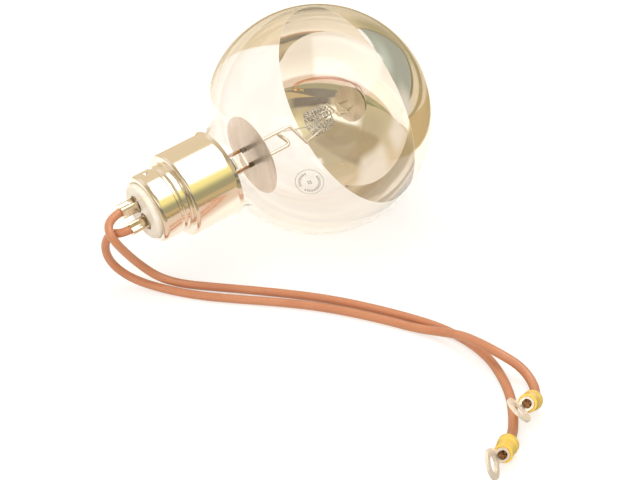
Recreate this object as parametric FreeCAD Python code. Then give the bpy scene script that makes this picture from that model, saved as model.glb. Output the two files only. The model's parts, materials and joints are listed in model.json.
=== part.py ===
# A silver crown globe lamp with two flexible leads, lying on its globe and its leads.
# Millimetres. The origin is on the floor under the middle of the lamp without its leads.
# +X runs along the lamp towards the crown, which is raised a little, and +Z is up.
import FreeCAD
import Part
import math
import os

V = FreeCAD.Vector

# Clearances and small rounds shared by several pieces
cut_over = 2.0
fit_clearance = 0.05
close_fit = 0.01
crease_round = 0.15
edge_round = 0.2

# Driving dimensions of the glass; places are along the axis from the globe's centre
globe_radius = 47.5
glass_wall = 0.9
neck_radius = 16.2
neck_blend = 7.0
neck_start = math.sqrt((globe_radius + neck_blend) ** 2 - (neck_radius + neck_blend) ** 2)
neck_length = 16.7
neck_end = neck_start + neck_length
mirror_start = 13.0
mirror_wall = 0.12
mirror_gap = 0.02

# Heat shield, and the joints between it and the press of the stem
shield_radius = 16.8
shield_thickness = 0.4
shield_place = 34.0
joint_gap = 0.2
joint_sleeve_length = 2.9
joint_sleeve_wall = 0.25
press_gap = 0.5
joint_start = shield_place + shield_thickness + joint_gap

# Stem
press_end = joint_start + joint_sleeve_length + press_gap
press_length = 9.0
press_start = press_end + press_length
press_width = 9.6
press_thickness = 4.0
press_blend = 3.15
press_taper = 0.2
press_corner = 1.75
press_seat = 1.0
stem_tube_radius = 5.0
stem_wall = 0.9
flare_length = 9.0
flare_round = 8.0
exhaust_radius = 1.6
exhaust_wall = 0.5
exhaust_seat = 1.0
exhaust_start = press_start - exhaust_seat

# Cap shell
cement_thickness = 0.75
cap_wall = 0.4
cap_radius = neck_radius + cement_thickness + cap_wall
lip_place = 1.9
cap_lip = neck_start + lip_place
cap_lip_flare = 0.6
cap_lip_length = 1.5
lip_bend = 1.6
cap_body_length = 21.0
cap_step = cap_lip + cap_body_length
cap_step_round = 1.3
cap_step_hollow = 0.5
cap_small_radius = 14.0
small_end_length = 12.5
cap_end = cap_step + small_end_length
cap_end_round = 1.7
groove_offset = 3.8
groove_place = cap_step + groove_offset
groove_half_width = 1.1
groove_floor_half = 0.45
groove_depth = 0.75
groove_round = 0.45
dimple_offset = 8.1
dimple_place = cap_step + dimple_offset
dimple_angle = 86.0
dimple_radius = 1.7
dimple_depth = 0.65
cement_set_back = 1.8
cement_overhang = 1.5

# Ceramic plug
plug_clearance = 0.05
plug_set_in = 2.0
plug_start = cap_step + plug_set_in
plug_proud = 2.2
plug_face = cap_end + plug_proud
plug_face_radius = 11.6
plug_face_round = 1.5
plug_start_step = 1.2
plug_start_round = 0.4
plug_step_round = 0.3
mouth_clearance = 0.4
cap_mouth_radius = plug_face_radius + mouth_clearance
pocket_depth = 5.6
wire_hole_radius = 0.6

# Crimp sleeves and leads
terminal_offset = 3.8
sleeve_width = 5.0
sleeve_height = 5.4
sleeve_shift = 0.35
sleeve_corner = 0.9
ridge_round = 1.0
valley_depth = 1.3
valley_round = 0.4
sleeve_floor = 1.2
sleeve_length = 12.65
sleeve_start = plug_face - pocket_depth + fit_clearance
sleeve_end = sleeve_start + sleeve_length
sleeve_recess = 1.2
sleeve_reach = math.hypot(sleeve_width / 2 - ridge_round, sleeve_height / 2 + sleeve_shift - ridge_round)
pocket_radius = sleeve_reach + ridge_round + plug_clearance
crimp_set_back = 6.0
crimp_place = sleeve_end - crimp_set_back
crimp_width = 3.4
crimp_depth = 2.0
lead_diameter = 3.4
lead_clearance = 0.05

# Wires and rods of the mount
seal_wire_diameter = 0.8
seal_wire_offset = 3.35
wire_start = sleeve_start + sleeve_floor
wire_bend_run = 2.0
wire_bend = 10.0
exhaust_room = 3.2
exhaust_tip = plug_start - exhaust_room
exhaust_tip_radius = 0.3
exhaust_tip_round = 0.8
rod_diameter = 1.5
support_wire_diameter = 0.7
support_wire_gap = 1.7
post_overlap = 1.2
weld_depth = 0.15
rod_turn = 13.0
rod_bend = 1.6
cross_bar_place = 10.4
cross_bar_side = -6.4
cross_bar_height = 1.5
cross_bar_end = V(-cross_bar_place, cross_bar_side, cross_bar_height)
hairpin_turn = 16.6
hairpin_bend = 1.7
hairpin_place = 18.2
hairpin_side = 4.0
hairpin_height = -3.4
hairpin_end = V(-hairpin_place, hairpin_side, hairpin_height)

# Filament cage
cage_radius = 4.3
cage_low = -4.2
cage_high = 4.4
cage_legs = 8
cage_turn = -90.0
coil_diameter = 1.9
coil_tail = 0.5

# Ring terminals, their insulating sleeves and the bared strands
ring_radius = 4.9
ring_hole_radius = 2.9
tongue_thickness = 1.0
tongue_neck_width = 4.4
tongue_run = 0.4
barrel_radius = 2.35
barrel_wall = 0.8
barrel_length = 6.6
trough_length = 1.2
trough_lip = 2.95
ring_reach = barrel_length + trough_length + tongue_run + ring_radius
collar_wall = 0.8
collar_flare = 0.3
collar_back_length = 2.2
collar_set_back = 0.4
collar_step = 0.9
collar_rim_round = 0.25
collar_bend = 0.6
strand_radius = 0.5
strand_count = 6
strand_stand = 0.7
strand_stagger = 0.25
strand_core = 0.7

# How the lamp lies, in degrees
lie_tilt = 10.2
mount_roll = 49.7
exit_run_upper = 3.6
exit_run_lower = 4.6
lean_front = -65.0
lean_rear = -33.0

# Routes of the leads from their first free point to the barrel of the ring terminal
route_upper = [
    V(-76.6, 1.2, 30.6), V(-77.3, -3.0, 27.3), V(-72.7, -3.0, 20.0), V(-66.9, -3.1, 12.2),
    V(-60.8, -6.3, 5.6), V(-53.5, -11.9, 2.4), V(-43.8, -20.9, 1.8), V(-33.6, -31.6, 1.8),
    V(-23.4, -42.8, 1.8), V(-13.8, -54.6, 1.8), V(-5.5, -67.6, 1.8), V(1.8, -81.4, 1.8),
    V(7.7, -95.1, 1.8), V(9.7, -108.1, 1.8), V(8.4, -120.4, 1.8), V(3.9, -132.0, 1.8),
    V(-2.3, -142.3, 1.8), V(-9.2, -150.1, 1.8), V(-16.2, -156.7, 2.1), V(-23.3, -161.0, 4.1),
]
route_lower = [
    V(-74.6, 2.2, 26.4), V(-76.5, 4.6, 22.3), V(-75.9, 6.4, 15.5), V(-73.1, 5.4, 9.0),
    V(-67.7, 0.8, 3.5), V(-60.9, -9.9, 1.9), V(-52.0, -22.8, 1.8), V(-41.6, -33.7, 1.8),
    V(-31.0, -44.2, 1.8), V(-21.3, -54.9, 1.8), V(-12.7, -66.9, 1.8), V(-5.2, -79.8, 1.8),
    V(0.2, -90.7, 1.8), V(4.2, -99.4, 3.4), V(5.1, -109.4, 7.0), V(5.4, -118.7, 8.4),
    V(6.4, -127.2, 8.4), V(10.2, -133.9, 5.2), V(9.6, -141.0, 2.4), V(5.0, -146.9, 1.8),
    V(-1.3, -150.2, 5.4),
]


def corner(before, point, after, radius):
    """Start, middle and end of the arc that rounds one corner."""
    back = (before - point).normalize()
    on = (after - point).normalize()
    half = (math.pi - back.getAngle(on)) / 2
    reach = radius * math.tan(half)
    middle = (back + on).normalize()
    centre = point + middle * (radius / math.cos(half))
    return point + back * reach, centre - middle * radius, point + on * reach


def rounded_edges(points, radii, closed=False):
    """Straight edges joined by tangent arcs; a radius of 0 keeps the corner sharp."""
    count = len(points)
    marks = []
    for i, point in enumerate(points):
        inner = closed or 0 < i < count - 1
        if inner and radii[i] > 0:
            marks.append(corner(points[i - 1], point, points[(i + 1) % count], radii[i]))
        else:
            marks.append((point, None, point))
    edges = []
    for i in range(count):
        start, middle, end = marks[i]
        if middle is not None:
            edges.append(Part.Arc(start, middle, end).toShape())
        if i < count - 1 or closed:
            following = marks[(i + 1) % count][0]
            if end.distanceToPoint(following) > 1e-6:
                edges.append(Part.LineSegment(end, following).toShape())
    return edges


def turned(profile, radii):
    """Solid of revolution about X from a closed outline of (x, radius) points."""
    points = [V(x, r, 0) for x, r in profile]
    face = Part.Face(Part.Wire(rounded_edges(points, radii, closed=True)))
    return solid_of(face.revolve(V(0, 0, 0), V(1, 0, 0), 360))


def solid_of(shape):
    """The one solid of a shape, with its faces outwards."""
    solid = Part.Solid(shape.Shells[0]) if not shape.Solids else shape.Solids[0]
    if solid.Volume < 0:
        solid.reverse()
    return solid


def rod(start, end, radius):
    """Straight round rod between two points."""
    way = end - start
    return Part.makeCylinder(radius, way.Length, start, way)


def swept(points, radii, radius):
    """Round bar along straight runs and tangent arcs."""
    spine = Part.Wire(rounded_edges(points, radii))
    ring = Part.Wire(Part.makeCircle(radius, points[0], points[1] - points[0]))
    return solid_of(spine.makePipeShell([ring], True, False))


def offset_outline(points, distance):
    """Open (x, radius) outline moved sideways, to the left of its direction."""
    flat = [V(x, r, 0) for x, r in points]
    ways = [(b - a).normalize() for a, b in zip(flat, flat[1:])]
    sides = [V(-w.y, w.x, 0) for w in ways]
    moved = [flat[0] + sides[0] * distance]
    for i in range(1, len(flat) - 1):
        sum_of_sides = sides[i - 1] + sides[i]
        moved.append(flat[i] + sum_of_sides * (2 * distance / sum_of_sides.dot(sum_of_sides)))
    moved.append(flat[-1] + sides[-1] * distance)
    return [(p.x, p.y) for p in moved]


def sheet_turned(outline, radii, wall):
    """Pressed sheet of even thickness, turned about X; the wall lies to the left of the outline."""
    inner = offset_outline(outline, wall)
    inner_radii = list(radii)
    for i in range(1, len(outline) - 1):
        if radii[i] > 0:
            before = V(outline[i][0] - outline[i - 1][0], outline[i][1] - outline[i - 1][1], 0)
            after = V(outline[i + 1][0] - outline[i][0], outline[i + 1][1] - outline[i][1], 0)
            turns_left = before.cross(after).z > 0
            inner_radii[i] = max(radii[i] - wall, 0) if turns_left else radii[i] + wall
    return turned(outline + inner[::-1], list(radii) + inner_radii[::-1])


def globe_outline(inset):
    """Edges from the crown's pole to the end of the neck, moved inwards by the inset."""
    ball = globe_radius - inset
    neck = neck_radius - inset
    blend = neck_blend + inset
    centre_x = -math.sqrt((ball + blend) ** 2 - (neck + blend) ** 2)
    centre = V(centre_x, neck + blend, 0)
    on_ball = centre * (ball / (ball + blend))
    on_neck = V(centre_x, neck, 0)
    to_ball = (on_ball - centre).normalize()
    to_neck = (on_neck - centre).normalize()
    blend_middle = centre + (to_ball + to_neck).normalize() * blend
    half = on_ball.getAngle(V(1, 0, 0)) / 2
    ball_middle = V(ball * math.cos(half), ball * math.sin(half), 0)
    edges = [
        Part.Arc(V(ball, 0, 0), ball_middle, on_ball).toShape(),
        Part.Arc(on_ball, blend_middle, on_neck).toShape(),
        Part.LineSegment(on_neck, V(-neck_end, neck, 0)).toShape(),
    ]
    return edges


def make_globe():
    """Blown envelope: a globe, a blended neck and an open end for the stem."""
    outer = globe_outline(0)
    inner = globe_outline(glass_wall)
    rim = Part.LineSegment(V(-neck_end, neck_radius, 0), V(-neck_end, neck_radius - glass_wall, 0))
    pole = Part.LineSegment(V(globe_radius - glass_wall, 0, 0), V(globe_radius, 0, 0))
    wire = Part.Wire(Part.__sortEdges__(outer + [rim.toShape()] + inner + [pole.toShape()]))
    return solid_of(Part.Face(wire).revolve(V(0, 0, 0), V(1, 0, 0), 360))


def make_mirror():
    """Thin silvered cap on the inside of the crown."""
    outer = globe_radius - glass_wall - mirror_gap
    inner = outer - mirror_wall
    cap = Part.makeSphere(outer).cut(Part.makeSphere(inner))
    size = 3 * globe_radius
    keep = Part.makeBox(size, size, size, V(mirror_start, -size / 2, -size / 2))
    return solid_of(cap.common(keep))


def make_stem():
    """Flare, tube and flat press of the stem, fused into one, with the wires' holes in the press."""
    rim = neck_radius - glass_wall
    outline = [
        (-neck_end, rim),
        (-neck_end + glass_wall, rim),
        (-neck_end + flare_length, stem_tube_radius),
        (-press_start + press_seat, stem_tube_radius),
    ]
    tube = sheet_turned(outline, [0, 0, flare_round, 0], -stem_wall)
    width = press_width / 2
    thickness = press_thickness / 2
    start = Part.Wire(Part.makeCircle(stem_tube_radius, V(-press_start, 0, 0), V(1, 0, 0)))
    neck = press_section(-press_start + press_blend, width, thickness)
    top = press_section(-press_end, width - press_taper, thickness - press_taper)
    press = Part.makeLoft([start, neck], True).fuse(Part.makeLoft([neck, top], True))
    stem = tube.fuse(press).removeSplitter()
    for side in (1, -1):
        stem = stem.cut(make_seal_wire(side))
    way_out = rod(V(-neck_end, 0, 0), V(-exhaust_start, 0, 0), exhaust_radius)
    return solid_of(stem.cut(way_out))


def press_section(x, half_width, half_thickness):
    """Rounded flat section of the press, across the axis."""
    corners = [
        V(x, half_width, half_thickness), V(x, -half_width, half_thickness),
        V(x, -half_width, -half_thickness), V(x, half_width, -half_thickness),
    ]
    return Part.Wire(rounded_edges(corners, [press_corner] * len(corners), closed=True))


def make_exhaust_tube():
    """Tipped-off exhaust tube, from the press to its closed tip inside the plug's hollow."""
    outer = exhaust_radius - fit_clearance
    outline = [
        (-exhaust_start, outer),
        (-exhaust_tip, outer),
        (-exhaust_tip - outer, exhaust_tip_radius),
        (-exhaust_tip - outer, 0),
        (-exhaust_tip, 0),
        (-exhaust_tip, outer - exhaust_wall),
        (-exhaust_start, outer - exhaust_wall),
    ]
    return turned(outline, [0, exhaust_tip_round, 0, 0, 0, 0, 0])


def seal_height(side):
    """How far a seal wire lies from the axis, upper first."""
    return side * seal_wire_offset


def make_seal_wire(side):
    """Wire from its crimp sleeve, through plug and stem, sealed in the press, to its joint sleeve."""
    outer = V(-wire_start, side * terminal_offset, 0)
    leave_plug = V(-plug_start + wire_bend_run, side * terminal_offset, 0)
    enter_press = V(-press_start - wire_bend_run, seal_height(side), 0)
    end = V(-joint_start - joint_sleeve_length / 2, seal_height(side), 0)
    return swept([outer, leave_plug, enter_press, end], [0, wire_bend, wire_bend, 0], seal_wire_diameter / 2)


def make_joint_sleeve(side):
    """Dark sleeve that joins a seal wire to its thick rod, close behind the disc."""
    y = seal_height(side)
    low = V(-joint_start - joint_sleeve_length, y, 0)
    middle = V(-joint_start - joint_sleeve_length / 2, y, 0)
    high = V(-joint_start, y, 0)
    sleeve = rod(low, high, rod_diameter / 2 + joint_sleeve_wall)
    sleeve = sleeve.makeFillet(edge_round, [sleeve.Edges[0], sleeve.Edges[2]])
    sleeve = sleeve.cut(rod(low, middle, seal_wire_diameter / 2 + close_fit))
    return solid_of(sleeve.cut(rod(middle, high, rod_diameter / 2)))


def make_shield():
    """Round disc with softened edges, threaded on the two rods."""
    front = -shield_place
    back = front - shield_thickness
    outline = [(front, shield_radius), (front, 0), (back, 0), (back, shield_radius)]
    disc = turned(outline, [crease_round, 0, 0, crease_round])
    for side in (1, -1):
        y = seal_height(side)
        hole_radius = rod_diameter / 2 + fit_clearance
        disc = disc.cut(rod(V(back - cut_over, y, 0), V(front + cut_over, y, 0), hole_radius))
    return solid_of(disc)


def make_rod_upper():
    """Thick rod from the upper joint, bent over into the cross bar."""
    y = seal_height(1)
    start = V(-joint_start - joint_sleeve_length / 2, y, 0)
    return swept([start, V(-rod_turn, y, 0), cross_bar_end], [0, rod_bend, 0], rod_diameter / 2)


def make_rod_lower():
    """Thick rod from the lower joint, bent back behind the upper one."""
    y = seal_height(-1)
    start = V(-joint_start - joint_sleeve_length / 2, y, 0)
    return swept([start, V(-hairpin_turn, y, 0), hairpin_end], [0, hairpin_bend, 0], rod_diameter / 2)


def cage_point(step, high):
    """A corner of the filament's cage."""
    turn = math.radians(cage_turn + 360 / cage_legs * step)
    return V(cage_high if high else cage_low, cage_radius * math.cos(turn), cage_radius * math.sin(turn))


def make_filament():
    """Cage of coiled legs about the axis, joined top and bottom by the wire's plain ends."""
    wire = support_wire_diameter / 2
    shape = None
    for step in range(cage_legs):
        low = cage_point(step, False)
        high = cage_point(step, True)
        leg = rod(low + V(coil_tail, 0, 0), high - V(coil_tail, 0, 0), coil_diameter / 2)
        leg = leg.fuse(rod(low, high, wire))
        if step:
            at_top = step % 2 == 1
            joint = rod(cage_point(step - 1, at_top), cage_point(step, at_top), wire)
            shape = shape.fuse(joint).fuse(leg)
        else:
            shape = leg
    return solid_of(shape)


def make_filament_post():
    """Thin wire from the turned-back end of the lower rod to the cage."""
    radius = support_wire_diameter / 2
    start = hairpin_end + V(-post_overlap, post_overlap / 2, -rod_diameter / 2 - radius + weld_depth)
    end = cage_point(0, False)
    return solid_of(rod(start, end, radius).cut(make_rod_lower()).cut(make_filament()))


def make_support_wire(side):
    """One of the two parallel thin wires between the cross bar and the cage, upper first."""
    radius = support_wire_diameter / 2
    bar = (V(-rod_turn, seal_height(1), 0) - cross_bar_end).normalize()
    foot = cross_bar_end + bar * (rod_diameter / 2 + support_wire_gap * (1 + side) / 2)
    top = cage_point(cage_legs // 2 + (1 - side) // 2, True)
    wire = rod(foot, top, radius)
    return solid_of(wire.cut(make_rod_upper()).cut(make_filament()))


def make_cap_shell():
    """Drawn cap: flared lip, body, step, rolled groove, small end, rolled-in mouth, dimple."""
    foot = cap_small_radius - groove_depth
    outline = [
        (-cap_lip, cap_radius + cap_lip_flare),
        (-cap_lip - cap_lip_length, cap_radius),
        (-cap_step, cap_radius),
        (-cap_step, cap_small_radius + cap_step_hollow),
        (-cap_step - cap_step_hollow, cap_small_radius),
        (-groove_place + groove_half_width, cap_small_radius),
        (-groove_place + groove_floor_half, foot),
        (-groove_place - groove_floor_half, foot),
        (-groove_place - groove_half_width, cap_small_radius),
        (-cap_end, cap_small_radius),
        (-cap_end, cap_mouth_radius),
    ]
    bends = [
        0, lip_bend, cap_step_round, crease_round, crease_round,
        groove_round, crease_round, crease_round, groove_round, cap_end_round, 0,
    ]
    shell = sheet_turned(outline, bends, cap_wall)
    shell = shell.fuse(dimple_ball(dimple_radius + cap_wall).common(cap_room(cap_small_radius)))
    return solid_of(shell.cut(dimple_ball(dimple_radius)).removeSplitter())


def dimple_ball(radius):
    """Ball whose lower part forms the punched dimple on the small end of the cap."""
    turn = math.radians(dimple_angle)
    height = cap_small_radius + dimple_radius - dimple_depth
    return Part.makeSphere(radius, V(-dimple_place, height * math.cos(turn), height * math.sin(turn)))


def cap_room(radius):
    """Round bar along the small end of the cap."""
    return rod(V(-cap_end, 0, 0), V(-cap_step, 0, 0), radius - cap_wall / 2)


def make_cement():
    """Ring of cement between the glass neck and the cap."""
    outer = cap_radius - cap_wall
    start = -cap_lip - cement_set_back
    end = -neck_end - cement_overhang
    outline = [(start, neck_radius), (start, outer), (end, outer), (end, neck_radius)]
    return turned(outline, [edge_round, edge_round, 0, 0])


def make_insulator():
    """Ceramic plug: body under the rolled mouth, raised face, two pockets and two wire holes."""
    body = cap_small_radius - cap_wall - plug_clearance
    step = body - plug_start_step
    groove = -groove_place - groove_half_width
    shoulder = -cap_end + cap_wall + plug_clearance
    outline = [
        (-plug_start, 0), (-plug_start, step), (groove, step), (groove, body),
        (shoulder, body), (shoulder, plug_face_radius), (-plug_face, plug_face_radius), (-plug_face, 0),
    ]
    rounds = [
        0, plug_start_round, 0, plug_step_round,
        cap_end_round - cap_wall, crease_round, plug_face_round, 0,
    ]
    plug = turned(outline, rounds)
    for side in (1, -1):
        y = side * terminal_offset
        mouth = V(-plug_face - cut_over, y, 0)
        plug = plug.cut(rod(mouth, V(-plug_face + pocket_depth, y, 0), pocket_radius))
        plug = plug.cut(rod(mouth, V(-plug_start + cut_over, y, 0), wire_hole_radius))
    plug = turn_mount(plug)
    return solid_of(plug.cut(dimple_ball(dimple_radius + cap_wall + plug_clearance)))


def make_crimp_sleeve(side, roll):
    """Crimped metal sleeve: two rolled ridges with a valley between, deeper along the crimp."""
    half_width = sleeve_width / 2
    top = sleeve_height / 2 + sleeve_shift
    low = sleeve_shift - sleeve_height / 2
    start = -sleeve_start
    corners = [
        V(start, -half_width, low), V(start, half_width, low), V(start, half_width, top),
        V(start, 0, top - valley_depth), V(start, -half_width, top),
    ]
    radii = [sleeve_corner, sleeve_corner, ridge_round, valley_round, ridge_round]
    section = Part.Face(Part.Wire(rounded_edges(corners, radii, closed=True)))
    sleeve = solid_of(section.extrude(V(-sleeve_length, 0, 0)))
    crimp_end = V(-crimp_place - crimp_width / 2, 0, top)
    sleeve = sleeve.cut(rod(crimp_end, crimp_end + V(crimp_width, 0, 0), crimp_depth))
    recess = V(-sleeve_end + sleeve_recess, 0, 0)
    sleeve = sleeve.cut(rod(V(-sleeve_end - cut_over, 0, 0), recess, lead_diameter / 2 + lead_clearance))
    sleeve = sleeve.cut(rod(V(start + cut_over, 0, 0), V(-wire_start, 0, 0), seal_wire_diameter / 2))
    sleeve.rotate(V(0, 0, 0), V(1, 0, 0), roll)
    sleeve.translate(V(0, side * terminal_offset, 0))
    return solid_of(sleeve)


def turn_mount(shape):
    """Turns the mount and the terminals about the lamp's axis."""
    turned_shape = shape.copy()
    turned_shape.rotate(V(0, 0, 0), V(1, 0, 0), mount_roll)
    return turned_shape


def lie_down(shape, middle):
    """Lays the lamp on the floor: crown up by the tilt, globe on the floor, box over the origin."""
    laid = shape.copy()
    laid.rotate(V(0, 0, 0), V(0, 1, 0), -lie_tilt)
    laid.translate(V(-middle, 0, globe_radius))
    return laid


def lead_exit(side, middle):
    """Start of a lead at the bottom of its sleeve's recess, and its way out."""
    point = Part.Vertex(V(-sleeve_end + sleeve_recess, side * terminal_offset, 0))
    start = lie_down(turn_mount(point), middle).Point
    way = V(-math.cos(math.radians(lie_tilt)), 0, -math.sin(math.radians(lie_tilt)))
    return start, way


def route_radii(points, name):
    """Arc radii of a lead: 0.45 of the shorter run over the tangent of half the turn."""
    radii = [0]
    for before, point, after in zip(points, points[1:], points[2:]):
        first = point - before
        second = after - point
        half = first.getAngle(second) / 2
        radii.append(0.45 * min(first.Length, second.Length) / math.tan(half))
    radii.append(0)
    print(name, "arc radii", [round(r, 1) for r in radii[1:-1]])
    print(name, "runs", [round((b - a).Length, 1) for a, b in zip(points, points[1:])])
    return radii


def make_lead(points, name):
    """Round flexible lead along its route."""
    radii = route_radii(points, name)
    spine = Part.Wire(rounded_edges(points, radii))
    lead = swept(points, radii, lead_diameter / 2)
    section = math.pi * lead_diameter ** 2 / 4
    print(name, "length", round(spine.Length, 1), "volume over section times length",
          round(lead.Volume / (section * spine.Length), 4))
    return lead


def make_ring_terminal():
    """Tinned terminal: barrel, slanted trough, neck, and a flat ring level with the barrel's foot."""
    foot = -barrel_radius
    tube_end = barrel_length + trough_length
    tube = rod(V(0, 0, 0), V(tube_end, 0, 0), barrel_radius)
    wide = barrel_radius + cut_over
    slant = Part.makePolygon([
        V(barrel_length, -wide, wide), V(tube_end + cut_over, -wide, wide),
        V(tube_end + cut_over, -wide, foot + tongue_thickness), V(tube_end, -wide, foot + tongue_thickness),
        V(barrel_length, -wide, foot + trough_lip), V(barrel_length, -wide, wide),
    ])
    tube = tube.cut(Part.Face(slant).extrude(V(0, 2 * wide, 0)))
    half = tongue_neck_width / 2
    ring = V(ring_reach, 0, foot)
    tongue = Part.makeBox(ring_reach - ring_hole_radius - barrel_length, 2 * half, tongue_thickness,
                          V(barrel_length, -half, foot))
    tongue = tongue.fuse(Part.makeCylinder(ring_radius, tongue_thickness, ring))
    shape = tube.fuse(tongue)
    shape = shape.cut(rod(V(-cut_over, 0, 0), V(tube_end + cut_over, 0, 0), barrel_radius - barrel_wall))
    shape = shape.cut(rod(ring - V(0, 0, cut_over), ring + V(0, 0, cut_over), ring_hole_radius))
    return solid_of(shape.removeSplitter())


def make_collar():
    """Short insulating sleeve: close over the barrel, wider over the end of the lead."""
    front = barrel_length - collar_set_back
    close = barrel_radius + lead_clearance
    outer = close + collar_wall
    wide = outer + collar_flare
    outline = [
        (front, outer), (collar_step, outer), (0, wide), (-collar_back_length, wide),
        (-collar_back_length, wide - collar_wall), (0, close), (front, close),
    ]
    rounds = [
        collar_rim_round, collar_bend, collar_bend, collar_rim_round, edge_round, collar_bend, edge_round,
    ]
    return turned(outline, rounds)


def make_strands():
    """Bared strands of the lead's conductor, from the lead's end to just past the barrel."""
    length = barrel_length + strand_stand
    pitch = barrel_radius - barrel_wall - strand_radius - lead_clearance
    along = V(1, 0, 0)
    strands = Part.makeCylinder(strand_core, length, V(0, 0, 0), along)
    for step in range(strand_count):
        turn = 2 * math.pi * step / strand_count
        place = V(0, pitch * math.cos(turn), pitch * math.sin(turn))
        cut_back = strand_stagger * (step % 3)
        strands = strands.fuse(Part.makeCylinder(strand_radius, length - cut_back, place, along))
    return solid_of(strands)


def at_lead_end(shape, route, lean):
    """Puts a piece of the ring terminal on the end of its lead, leaning about the lead's last run."""
    way = (route[-1] - route[-2]).normalize()
    up = (V(0, 0, 1) - way * way.z).normalize()
    left = up.cross(way)
    turn = math.radians(lean)
    face = up * math.cos(turn) - left * math.sin(turn)
    placed = shape.copy()
    placed.Placement = FreeCAD.Placement(route[-1], FreeCAD.Rotation(way, face.cross(way), face, "XYZ"))
    return placed


def main():
    os.makedirs("parts", exist_ok=True)
    plain = {
        "globe": make_globe(),
        "crown_mirror": make_mirror(),
        "cap_shell": make_cap_shell(),
        "neck_cement": make_cement(),
        "insulator": make_insulator(),
    }
    mount = {
        "stem": make_stem(),
        "exhaust_tube": make_exhaust_tube(),
        "seal_wire_upper": make_seal_wire(1),
        "seal_wire_lower": make_seal_wire(-1),
        "joint_sleeve_upper": make_joint_sleeve(1),
        "joint_sleeve_lower": make_joint_sleeve(-1),
        "heat_shield": make_shield(),
        "support_rod_upper": make_rod_upper(),
        "support_rod_lower": make_rod_lower(),
        "filament_post": make_filament_post(),
        "support_wire_upper": make_support_wire(1),
        "support_wire_lower": make_support_wire(-1),
        "filament": make_filament(),
        "crimp_sleeve_upper": make_crimp_sleeve(1, -mount_roll),
        "crimp_sleeve_lower": make_crimp_sleeve(-1, 0),
    }
    lamp = dict(plain)
    for name, shape in mount.items():
        lamp[name] = turn_mount(shape)
    upright = Part.makeCompound([lie_down(shape, 0) for shape in lamp.values()])
    box = upright.optimalBoundingBox(False, False)
    middle = (box.XMin + box.XMax) / 2
    parts = {name: lie_down(shape, middle) for name, shape in lamp.items()}

    leads = {
        "upper": (1, exit_run_upper, route_upper, "front", lean_front),
        "lower": (-1, exit_run_lower, route_lower, "rear", lean_rear),
    }
    for name, (side, exit_run, route, end, lean) in leads.items():
        start, way = lead_exit(side, middle)
        points = [start, start + way * exit_run] + route
        print(name, "exit", start, "then", points[1])
        parts["lead_" + name] = make_lead(points, name)
        parts["ring_terminal_" + end] = at_lead_end(make_ring_terminal(), route, lean)
        parts["terminal_sleeve_" + end] = at_lead_end(make_collar(), route, lean)
        parts["strand_end_" + end] = at_lead_end(make_strands(), route, lean)

    print("globe centre at", -middle, "box", box)
    for name, shape in parts.items():
        low = shape.optimalBoundingBox(False, False).ZMin
        print(name, shape.ShapeType, shape.isValid(), round(shape.Volume, 1), "lowest", round(low, 2))
        shape.exportStep("parts/" + name + ".step")


main()
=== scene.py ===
"""Looks of a silver crown globe lamp: blown glass, mirror coat, plated cap, filament, leads and their light.

Everything is in metres, in the frame of the solids: the lamp lies on its globe, +X runs towards
the crown and +Z is up. Sizes that a maker would give in millimetres are written so and scaled.
"""

import json
import logging
import math
from dataclasses import dataclass, field
from enum import Enum

import bmesh
import bpy
from mathutils import Matrix, Vector


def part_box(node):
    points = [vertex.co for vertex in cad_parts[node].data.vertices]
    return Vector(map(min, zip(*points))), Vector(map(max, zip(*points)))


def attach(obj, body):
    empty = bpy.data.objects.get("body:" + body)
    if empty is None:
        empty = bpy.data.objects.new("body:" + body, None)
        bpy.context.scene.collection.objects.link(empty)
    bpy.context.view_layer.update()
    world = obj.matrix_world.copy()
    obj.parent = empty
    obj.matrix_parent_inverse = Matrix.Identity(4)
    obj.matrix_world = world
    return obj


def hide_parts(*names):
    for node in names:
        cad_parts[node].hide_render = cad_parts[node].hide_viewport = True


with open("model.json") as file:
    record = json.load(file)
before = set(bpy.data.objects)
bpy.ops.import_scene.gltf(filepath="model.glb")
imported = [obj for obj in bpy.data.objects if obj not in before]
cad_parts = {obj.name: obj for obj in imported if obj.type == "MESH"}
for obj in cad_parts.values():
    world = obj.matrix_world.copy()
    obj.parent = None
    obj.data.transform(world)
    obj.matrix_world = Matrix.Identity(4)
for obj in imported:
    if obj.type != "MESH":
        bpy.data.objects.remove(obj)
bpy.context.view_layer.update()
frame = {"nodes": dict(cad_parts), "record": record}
LOG = logging.getLogger("lamp")
MM = 0.001
BODY = "root"
# Nearly all of a noise lies between these
NOISE_LOW, NOISE_HIGH = 0.3, 0.7
# How far the lamp's axis dips towards its cap, in radians
LAMP_TILT = -math.asin(frame["record"]["mounts"][0]["axis"][2])


def linear(hex_colour: str) -> tuple[float, float, float, float]:
    """Turns an sRGB hex value to linear light.

    Args:
        hex_colour: Six hex digits after a hash.

    Returns:
        Red, green, blue and an alpha of 1.
    """
    channels = [int(hex_colour[i:i + 2], 16) / 255 for i in (1, 3, 5)]
    light = [c / 12.92 if c <= 0.04045 else ((c + 0.055) / 1.055) ** 2.4 for c in channels]
    return (*light, 1.0)


def add_node(tree: bpy.types.NodeTree, kind: str, settings: dict | None = None,
             links: dict | None = None) -> bpy.types.Node:
    """Adds one node with its settings and links.

    Args:
        tree: Tree that takes the node.
        kind: The node's type name.
        settings: Values by attribute name, or else by input name or number.
        links: Output sockets by the name or number of the input that they feed.

    Returns:
        The new node.
    """
    node = tree.nodes.new(kind)
    for key, value in (settings or {}).items():
        if isinstance(key, str) and hasattr(node, key):
            setattr(node, key, value)
        else:
            node.inputs[key].default_value = value
    for key, socket in (links or {}).items():
        tree.links.new(socket, node.inputs[key])
    return node


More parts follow.
